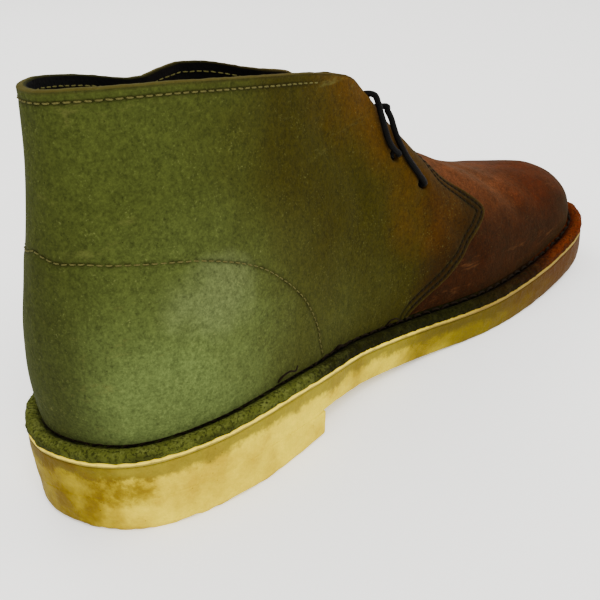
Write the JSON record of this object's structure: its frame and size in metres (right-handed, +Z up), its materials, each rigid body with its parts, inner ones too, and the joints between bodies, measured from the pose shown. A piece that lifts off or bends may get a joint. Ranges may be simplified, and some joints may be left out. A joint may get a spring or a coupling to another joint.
{
  "type": "desert boot",
  "caption": "Suede desert boot with open quarters laced over a tongue, the upper's edge turned out onto a crepe sole with a heel.",
  "frame": {"origin": "centre of the bounding box's footprint, at the floor that the boot stands on", "axes": "+X from the heel towards the toe, +Y towards the outer side of the foot, +Z up"},
  "size_m": [0.3004, 0.103, 0.1422],
  "materials": {
    "suede": "worn green suede, shading to red-brown at the toe",
    "tongue_suede": "dark brown suede",
    "insole_leather": "smooth tan leather",
    "midsole": "pale cream crepe sheet",
    "crepe": "yellow plantation crepe, stained brown",
    "lace": "black round waxed cotton lace"
  },
  "bodies": {
    "root": {"upper": "suede", "tongue": "tongue_suede", "insole": "insole_leather", "midsole": "midsole", "crepe_outsole": "crepe", "crepe_heel": "crepe", "lace_crossings": "lace", "lace_inner": "lace", "lace_outer": "lace"}
  },
  "joints": []
}
